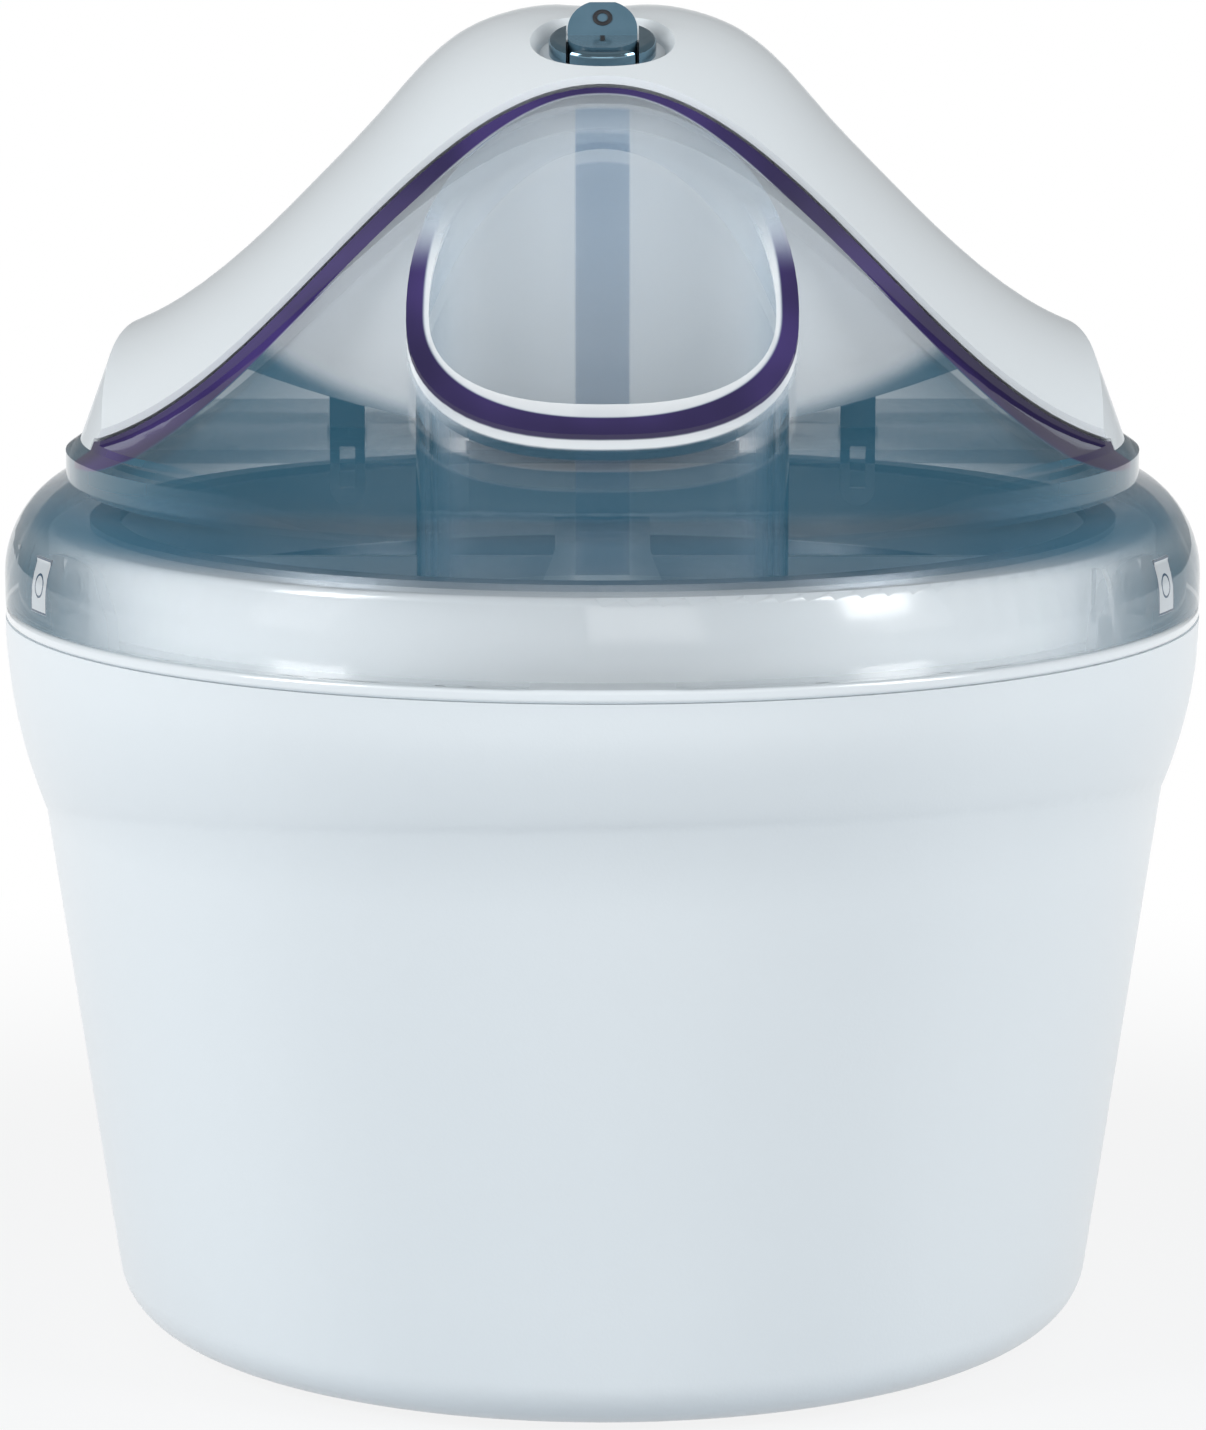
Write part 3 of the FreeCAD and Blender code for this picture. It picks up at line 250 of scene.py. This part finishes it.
brassLook = {
    "colour": (0.70, 0.50, 0.20), "shade": (0.50, 0.34, 0.13), "stainScale": 120.0, "streakScale": 900.0,
    "stretch": (1, 0.1, 1), "uneven": 0.2, "roughness": 0.28, "streakDepth": 0.1}
copperLook = {
    "colour": (0.62, 0.24, 0.10), "shade": (0.42, 0.15, 0.06), "stainScale": 90.0, "streakScale": 1500.0,
    "stretch": (0.03, 0.03, 1), "uneven": 0.15, "roughness": 0.32, "streakDepth": 0.9}
rubberLook = {
    "colour": (0.020, 0.021, 0.023), "dust": (0.055, 0.056, 0.058), "bloomScale": 90.0,
    "poreScale": 1800.0, "poreDepth": 0.3, "roughness": 0.72}
leadLook = {
    "colour": (0.02, 0.035, 0.14), "dust": (0.035, 0.05, 0.17), "bloomScale": 200.0,
    "poreScale": 2500.0, "poreDepth": 0.15, "roughness": 0.45}

shellWhite = plastic("shellWhite", shellLook)
collarWhite = plastic("collarWhite", collarLook)
jacketGrey = plastic("jacketGrey", jacketLook)
paddleWhite = plastic("paddleWhite", paddleLook)
gearNylon = plastic("gearNylon", gearLook)
gelBlue = plastic("gelBlue", gelLook)
rockerGloss = plastic("rockerGloss", rockerLook)
inkAndRecessShade = plastic("inkAndRecessShade", markLook)
bezelChrome = metal("bezelChrome", bezelLook)
bowlMetal = metal("bowlMetal", bowlLook)
steelBrushed = metal("steelBrushed", steelLook)
contactBrass = metal("contactBrass", brassLook)
coilCopper = metal("coilCopper", copperLook)
rubberBlack = rubber("rubberBlack", rubberLook)
leadBlue = rubber("leadBlue", leadLook)

lidLook = {  # metres; the hood's foot gets the deepest tint, painted shade for the shaded gap under the motor, and the tint thins out up the hood
    "soft": 0.0003, "roughness": 0.06, "ior": 1.49,
    "clear": (0.82, 0.88, 0.92), "plate": (0.045, 0.19, 0.31), "foot": (0.022, 0.125, 0.205),
    "hood": (0.84, 0.92, 0.99), "tube": (0.55, 0.68, 0.80), "gapReflection": (0.16, 0.28, 0.42),
    "skirtAlpha": 0.04, "plateAlpha": 0.15, "footAlpha": 0.36, "hoodAlpha": 0.09, "tubeAlpha": 0.09,
    "gapReflectionAlpha": 0.34, "plateZone": (0.1515, 0.157), "footZone": (0.1635, 0.1650),
    "bellyLow": 0.1755, "bellyRise": 0.0128, "bellyWide": 0.066, "bellySoft": 0.005,
    "tubeWide": 0.033, "tubeMiddle": -0.0635, "tubeFront": 0.015, "tubeBack": 0.027, "tubePower": 2.3,
    "tubeZone": (1.12, 1.06), "gapReflectionWide": (0.0052, 0.0046), "gapReflectionZone": (0.015, 0.018),
    # painted shade: edge and edgeLight are the dark violet laid on thick edges; painted highlight: rim is
    # the pale white of the lip's rim
    "edge": (0.022, 0.016, 0.065), "edgeLight": (0.060, 0.040, 0.17), "rim": (0.93, 0.96, 0.98),
    "poolScale": 30.0, "poolDetail": 2.0, "poolZone": (0.35, 0.7), "rimGlintAlpha": 0.45,
    "archFoot": 0.1695, "archRise": 0.033, "archSpan": 0.102, "bandThin": 0.0012, "bandThick": 0.0042,
    "bandGrows": (0.004, 0.040), "bandFront": -0.050, "bandBack": -0.0275,
    "lipBottom": 0.180, "lipFront": -0.0785, "lipSlope": 1.21, "lipDeep": 0.0010, "lipBack": -0.034,
    "lipEdge": 0.0027, "lipStart": (0.174, 0.175), "lipFade": (0.217, 0.204),
    "ringZone": (0.87, 0.92), "rimFrom": (1.03, 1.07), "rimTo": (1.40, 1.35),
    "lockTurn": math.radians(25), "lockOut": 0.100, "lockMiddle": 0.1468, "lockWide": 0.004,
    "lockTall": 0.005, "lockBoss": 0.0021, "lockFrom": (0.90, 0.93), "lockTo": (1.02, 0.99),
    "bossFrom": (0.80, 0.88), "bossTo": (1.12, 1.04), "lockLine": (0.03, 0.07, 0.12),
    "lockAlpha": 0.85, "lockFace": 0.07,
    "graze": (0.030, 0.105, 0.155), "grazeBlend": 0.5, "grazeZone": (0.16, 0.74), "grazing": 0.80,
    "hoodClears": 0.65, "blockClears": 0.4,
    "rippleScale": 24.0, "rippleDetail": 1.0, "rippleStrength": 0.04, "rippleDepth": 0.002,
    "hazeScale": 60.0, "hazeDetail": 3.0, "hazeZone": (0.55, 0.8), "hazing": 0.02}


def chuteOval(place, look):  # 1 on the chute's outer wall, less inside it
    x, y = place[:2]
    soft = look["soft"]
    along = y - look["tubeMiddle"]
    depth = look["tubeFront"] + along.between(-soft, soft) * (look["tubeBack"] - look["tubeFront"])
    return (abs(x) / look["tubeWide"]) ** look["tubePower"] + abs(along / depth) ** look["tubePower"]


def lidTint(place, oval, look):  # clear skirt, tinted plate, painted shade at the hood's foot, pale hood and chute, and a painted dark reflection down the chute's back
    x, y, z = place
    onPlate = z.between(*look["plateZone"])
    onFoot = z.between(*look["footZone"])
    overBelly = z - look["bellyLow"] - x * x * (look["bellyRise"] / look["bellyWide"] ** 2)
    onHood = overBelly.between(0, look["bellySoft"])
    onTube = oval.between(*look["tubeZone"])
    # painted reflection: a dark streak down the back wall of the chute's tube, standing in for the dark gap
    # between two lamps mirrored there
    atBack = (y - look["tubeMiddle"]).between(*look["gapReflectionZone"])
    onGapReflection = onTube * abs(x).between(*look["gapReflectionWide"]) * atBack
    colour = onPlate.mixed(rgba(look["clear"]), rgba(look["plate"]))
    # painted shade: the hood's foot takes a deep dark tint where the gap under the motor lies in shade
    colour = onHood.mixed(onFoot.mixed(colour, rgba(look["foot"])), rgba(look["hood"]))
    colour = onGapReflection.mixed(onTube.mixed(colour, rgba(look["tube"])), rgba(look["gapReflection"]))
    cover = look["skirtAlpha"] + onPlate * (look["plateAlpha"] - look["skirtAlpha"])
    cover = cover + onFoot * (look["footAlpha"] - look["plateAlpha"])
    cover = cover + onFoot * onHood * (look["hoodAlpha"] - look["footAlpha"])
    cover = cover * (1 - onTube) + onTube * look["tubeAlpha"]
    cover = cover + onGapReflection * (look["gapReflectionAlpha"] - look["tubeAlpha"])
    return colour, cover, onHood


def lidEdges(wire, place, oval, look):  # painted shade: dark violet edges along the hood's arch and the chute's lip, where thick rounded edges look dark; and a painted highlight: the pale rim of the chute's lip
    x, y, z = place
    soft = look["soft"]
    swing = wire.maths("COSINE", x * (math.pi / look["archSpan"]))
    belowArch = look["archFoot"] + (swing + 1) * look["archRise"] - z
    growth = abs(x).between(*look["bandGrows"])
    bandWidth = look["bandThin"] + growth * (look["bandThick"] - look["bandThin"])
    # painted shade: a dark violet band under the hood's arch, where a shaded gap and a thick edge lie
    onBand = (belowArch - bandWidth).between(soft, -soft)
    onBand = onBand * y.between(look["bandFront"] - soft, look["bandFront"])
    onBand = onBand * y.between(look["bandBack"], look["bandBack"] - soft)

    overLip = z - look["lipBottom"] - (y - look["lipFront"]) * look["lipSlope"]
    rising = z.between(*look["lipStart"]) * z.between(*look["lipFade"])
    rising = rising * y.between(look["lipBack"] + soft, look["lipBack"])
    onLip = (overLip + look["lipDeep"]).between(-soft, soft) * rising
    onRing = onLip * oval.between(*look["ringZone"])
    # painted highlight: a pale rim along the chute's lip, inside and outside the violet ring
    onRimGlint = (overLip + look["lipEdge"]).between(-soft, soft) * rising * (1 - onRing)
    onRimGlint = onRimGlint * oval.between(*look["rimFrom"]) * oval.between(*look["rimTo"])
    onRimGlint = (onRimGlint + onLip * (1 - onRing)).clipped()
    return (onBand + onRing).clipped(), onRimGlint


def lockLines(wire, place, look):  # faces of the lock blocks, and painted dark outlines of blocks and bosses, where their edges show dark through the clear wall
    x, y, z = place
    cosTurn = math.cos(look["lockTurn"])
    sinTurn = math.sin(look["lockTurn"])
    sideways = abs(x) * sinTurn + y * cosTurn
    outward = abs(x) * cosTurn - y * sinTurn
    raised = z - look["lockMiddle"]
    square = wire.maths("MAXIMUM", abs(sideways) / look["lockWide"], abs(raised) / look["lockTall"])
    ring = (sideways * sideways + raised * raised) ** 0.5 / look["lockBoss"]
    outside = outward.between(look["lockOut"], look["lockOut"] + look["soft"])
    onBlock = square.between(*look["lockTo"]) * outside
    onBoss = ring.between(*look["bossFrom"]) * ring.between(*look["bossTo"]) * outside
    return onBlock, onBlock * square.between(*look["lockFrom"]) + onBoss


def clearPlastic(name, look):  # a clear tinted film, deeper where the wall turns away
    finish, wire, where = startFinish(name)
    place = axes(wire, where)
    oval = chuteOval(place, look)
    colour, cover, onHood = lidTint(place, oval, look)
    onEdge, onRimGlint = lidEdges(wire, place, oval, look)
    onBlock, onLine = lockLines(wire, place, look)
    pool = noise(wire, where, look["poolScale"], look["poolDetail"])
    # the dark violet of the painted shade on thick edges, in pools of lighter violet
    violet = pool.between(*look["poolZone"]).mixed(rgba(look["edge"]), rgba(look["edgeLight"]))

    facing = wire.node("ShaderNodeLayerWeight", {}, {"Blend": look["grazeBlend"]}, out=1)
    up = axes(wire, wire.node("ShaderNodeNewGeometry", out=1))[2]  # height of the normal
    graze = facing.between(*look["grazeZone"]) * (1 - up * up)
    graze = graze * (1 - onHood * look["hoodClears"]) * (1 - onBlock * look["blockClears"])
    colour = graze.mixed(colour, rgba(look["graze"]))
    # painted highlight on the lip's rim; the lock blocks' faces take the same pale white
    colour = (onRimGlint + onBlock).clipped().mixed(colour, rgba(look["rim"]))
    # painted shade: dark outlines round the lock blocks and bosses
    colour = onLine.mixed(colour, rgba(look["lockLine"]))
    colour = onEdge.mixed(colour, violet)
    cover = cover + graze * look["grazing"] + onRimGlint * look["rimGlintAlpha"] + onEdge
    cover = cover + onBlock * look["lockFace"] + onLine * look["lockAlpha"]
    ripple = noise(wire, where, look["rippleScale"], look["rippleDetail"])
    haze = noise(wire, where, look["hazeScale"], look["hazeDetail"])
    gloss = look["roughness"] + haze.between(*look["hazeZone"]) * look["hazing"]
    surface(wire, {
        "Base Color": colour, "Roughness": gloss, "IOR": look["ior"], "Alpha": cover.clipped(),
        "Normal": bump(wire, ripple, look["rippleStrength"], look["rippleDepth"])})
    return finish


lidClear = clearPlastic("lidClear", lidLook)
print("finishes made:", len(bpy.data.materials))


def addPiece(name, mesh, body, finish, replaced=()):
    piece = bpy.data.objects.new(name, mesh)
    scene.collection.objects.link(piece)
    mesh.materials.append(finish)
    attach(piece, body)
    if replaced:
        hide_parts(*replaced)


mergeGap = 1e-6


def smoothMesh(node, sharpAngle):  # a merged copy of a solid's mesh, smooth up to an angle
    bm = bmesh.new()
    bm.from_mesh(nodes[node].data)
    bmesh.ops.remove_doubles(bm, verts=bm.verts, dist=mergeGap)
    limit = math.radians(sharpAngle)
    for face in bm.faces:
        face.smooth = True
        face.material_index = 0
    for edge in bm.edges:
        edge.smooth = len(edge.link_faces) == 2 and edge.calc_face_angle(0.0) < limit
    mesh = bpy.data.meshes.new(node)
    bm.to_mesh(mesh)
    bm.free()
    return mesh


smoothNodes = {  # finish, and the angle in degrees past which an edge is sharp
    "housing": (shellWhite, 40), "bowl_collar": (collarWhite, 30), "motor_cover": (shellWhite, 32),
    "motor_base": (shellWhite, 30), "bowl_liner": (bowlMetal, 30), "bowl_jacket": (jacketGrey, 30),
    "paddle": (paddleWhite, 30), "switch_body": (bezelChrome, 30), "rocker": (rockerGloss, 30),
    "cord_gland": (rubberBlack, 30), "rubber_feet": (rubberBlack, 30), "lid": (lidClear, 32)}
plainNodes = {
    "fill_plug": rubberBlack, "bowl_seal": rubberBlack, "shaft_seal": rubberBlack, "coolant_fill": gelBlue,
    "switch_terminals": contactBrass, "output_bush": contactBrass, "motor_coil": coilCopper,
    "output_shaft": steelBrushed, "idler_pin": steelBrushed, "gear_plate": steelBrushed,
    "motor_can": steelBrushed, "rotor": steelBrushed, "case_screws": steelBrushed,
    "plate_screws": steelBrushed, "motor_screws": steelBrushed, "output_gear": gearNylon,
    "idler_gear": gearNylon, "motor_pinion": gearNylon, "lead_wires": leadBlue}

for node, (finish, sharpAngle) in smoothNodes.items():
    addPiece(node + "Smooth", smoothMesh(node, sharpAngle), bodyOf[node], finish, [node])
for node, finish in plainNodes.items():
    nodes[node].data.materials.clear()
    nodes[node].data.materials.append(finish)
print("solids finished:", len(smoothNodes) + len(plainNodes))


def treeStart(name, sizes):  # a geometry tree with one named input per size
    tree = bpy.data.node_groups.new(name, "GeometryNodeTree")
    tree.interface.new_socket("Geometry", in_out="OUTPUT", socket_type="NodeSocketGeometry")
    for size in sizes:
        tree.interface.new_socket(size, in_out="INPUT", socket_type="NodeSocketFloat")
    wire = Wire(tree)
    sockets = wire.node("NodeGroupInput").socket.node.outputs
    return wire, {size: Wire(tree, sockets[size]) for size in sizes}


def treeEnd(wire, shape, finish):
    real = wire.node("GeometryNodeRealizeInstances", {}, {0: shape})
    inked = wire.node("GeometryNodeSetMaterial", {}, {"Geometry": real, "Material": finish})
    wire.node("NodeGroupOutput", {}, {0: inked})


def treeMesh(wire, sizes):  # the tree's shape as a plain mesh
    holder = bpy.data.objects.new("holder", bpy.data.meshes.new("holder"))
    scene.collection.objects.link(holder)
    grown = holder.modifiers.new("grown", "NODES")
    grown.node_group = wire.tree
    for item in wire.tree.interface.items_tree:
        if item.in_out == "INPUT":
            grown[item.identifier] = sizes[item.name]
    seen = holder.evaluated_get(bpy.context.evaluated_depsgraph_get())
    mesh = bpy.data.meshes.new_from_object(seen)
    holder.modifiers.clear()
    bpy.data.objects.remove(holder)
    mesh.materials.clear()
    return mesh


def boxed(wire, x, y, z):
    size = wire.node("ShaderNodeCombineXYZ", {}, {0: x, 1: y, 2: z})
    return wire.node("GeometryNodeMeshCube", {}, {"Size": size})


def joined(wire, first, second):
    whole = wire.node("GeometryNodeJoinGeometry", {}, {0: first})
    wire.tree.links.new(second.socket, whole.socket.node.inputs[0])
    return whole


# painted shade: dark crosses laid on the screw heads stand in for the shaded cross recesses
crossSizes = {"length": 0.0034, "width": 0.0008, "depth": 0.0006, "acrossX": 0.104, "acrossY": 0.057}
crossPlace = {"middle": 0.0155, "proud": 0.00003, "perSide": 2}  # middle of front and back screws
crossWire, crossIn = treeStart("screwCrosses", crossSizes)
armA = boxed(crossWire, crossIn["length"], crossIn["width"], crossIn["depth"])
armB = boxed(crossWire, crossIn["width"], crossIn["length"], crossIn["depth"])
corners = crossWire.node("GeometryNodeMeshGrid", {}, {
    "Size X": crossIn["acrossX"], "Size Y": crossIn["acrossY"],
    "Vertices X": crossPlace["perSide"], "Vertices Y": crossPlace["perSide"]})
crosses = crossWire.node("GeometryNodeInstanceOnPoints", {}, {
    "Points": corners, "Instance": joined(crossWire, armA, armB)})
treeEnd(crossWire, crosses, inkAndRecessShade)
crossMesh = treeMesh(crossWire, crossSizes)
headFace = min(point.co.z for point in nodes["case_screws"].data.vertices)
crossHeight = headFace + crossSizes["depth"] / 2 - crossPlace["proud"]
crossMesh.transform(Matrix.Translation((0, crossPlace["middle"], crossHeight)))
addPiece("screwCrosses", crossMesh, "motor_unit", inkAndRecessShade)

markSizes = {"ringRadius": 0.0014, "line": 0.0008, "barLength": 0.0030, "height": 0.0003}
markPlaces = {  # fold of the rocker; each face leaves it at an angle above level
    "fold": (0, -0.01411, 0.24402), "rearFace": math.radians(50.5), "frontFace": math.radians(14.5),
    "ringOut": 0.0040, "barOut": -0.0020, "ringSteps": 48}


def onFace(wire, shape, angle, out):
    fold = Vector(markPlaces["fold"])
    along = Vector((0, math.cos(angle), math.sin(angle)))
    return wire.node("GeometryNodeTransform", {}, {
        "Geometry": shape, "Translation": fold + along * out, "Rotation": (angle, 0, 0)})


markWire, markIn = treeStart("switchMarks", markSizes)
ringPath = markWire.node("GeometryNodeCurvePrimitiveCircle", {}, {
    "Resolution": markPlaces["ringSteps"], "Radius": markIn["ringRadius"]})
ringLine = markWire.node("GeometryNodeCurvePrimitiveQuadrilateral", {}, {
    "Width": markIn["line"], "Height": markIn["height"]})
ring = markWire.node("GeometryNodeCurveToMesh", {}, {"Curve": ringPath, "Profile Curve": ringLine})
bar = boxed(markWire, markIn["line"], markIn["barLength"], markIn["height"])
ringTurned = onFace(markWire, ring, markPlaces["rearFace"], markPlaces["ringOut"])
barTurned = onFace(markWire, bar, markPlaces["frontFace"], markPlaces["barOut"])
treeEnd(markWire, joined(markWire, ringTurned, barTurned), inkAndRecessShade)
addPiece("switchMarks", treeMesh(markWire, markSizes), "rocker", inkAndRecessShade)
print("marks and screw crosses made")

studio = {
    "floorSize": 6.0, "floorColour": (0.48, 0.52, 0.56), "floorZone": (0.16, 0.42), "floorWhite": 0.86,
    "soft": 0.30, "backdrop": (0.985, 0.995), "white": (1, 1, 1),
    "lamps": {  # place, target, size, watts
        "keyLeft": ((-1.55, -0.9, 0.95), (0, 0, 0.12), (0.6, 1.4), 28.0),
        "fillRight": ((1.55, -0.9, 0.9), (0, 0, 0.12), (0.55, 1.4), 23.5),
        "frontLow": ((0, -1.8, 0.40), (0, 0, 0.15), (1.5, 0.35), 3.2),
        "topSoft": ((0, 0.1, 1.6), (0, 0, 0.1), (1.2, 0.9), 0.4)}}

for name, (place, target, size, watts) in studio["lamps"].items():
    lampData = bpy.data.lights.new(name, "AREA")
    lampData.shape = "RECTANGLE"
    lampData.size, lampData.size_y = size
    lampData.energy = watts
    lamp = bpy.data.objects.new(name, lampData)
    lamp.location = place
    lamp.rotation_euler = (Vector(target) - Vector(place)).to_track_quat("-Z", "Y").to_euler()
    scene.collection.objects.link(lamp)


def lightPath(wire, *names):  # 1 for rays of any of these kinds
    path = wire.node("ShaderNodeLightPath").socket.node.outputs
    rays = [Wire(wire.tree, path[name]) for name in names]
    return sum(rays[1:], rays[0]).clipped()


world = bpy.data.worlds.new("studioWorld")
scene.world = world
world.use_nodes = True
world.node_tree.nodes.clear()
sky = Wire(world.node_tree)
skyY = axes(sky, sky.node("ShaderNodeTexCoord"))[1]
backdrop = skyY.between(*studio["backdrop"])  # the white patch that lies behind the machine
mirrored = lightPath(sky, "Is Glossy Ray", "Is Transmission Ray") * backdrop
seen = (lightPath(sky, "Is Camera Ray") + mirrored).clipped()
strength = seen + (1 - seen) * studio["soft"]
glow = sky.node("ShaderNodeBackground", {}, {"Color": rgba(studio["white"]), "Strength": strength})
sky.node("ShaderNodeOutputWorld", {}, {"Surface": glow})

floorFinish, floorWire, floorWhere = startFinish("floorPale")
floorX, floorY = axes(floorWire, floorWhere)[:2]
spread = (floorX * floorX + floorY * floorY) ** 0.5
whiteness = studio["floorWhite"] + spread.between(*studio["floorZone"]) * (1 - studio["floorWhite"])
shown = lightPath(floorWire, "Is Camera Ray", "Is Glossy Ray", "Is Transmission Ray") * whiteness
floorDiffuse = floorWire.node("ShaderNodeBsdfDiffuse", {}, {"Color": rgba(studio["floorColour"])})
floorGlow = floorWire.node("ShaderNodeEmission", {}, {"Color": rgba(studio["white"]), "Strength": 1.0})
floorMix = floorWire.node("ShaderNodeMixShader", {}, {0: shown, 1: floorDiffuse, 2: floorGlow})
floorWire.node("ShaderNodeOutputMaterial", {}, {"Surface": floorMix})
half = studio["floorSize"] / 2
floorMesh = bpy.data.meshes.new("floor")
floorMesh.from_pydata(
    [(-half, -half, 0), (half, -half, 0), (half, half, 0), (-half, half, 0)], [], [(0, 1, 2, 3)])
floorMesh.materials.append(floorFinish)
floor = bpy.data.objects.new("floor", floorMesh)
scene.collection.objects.link(floor)
print("studio lit")
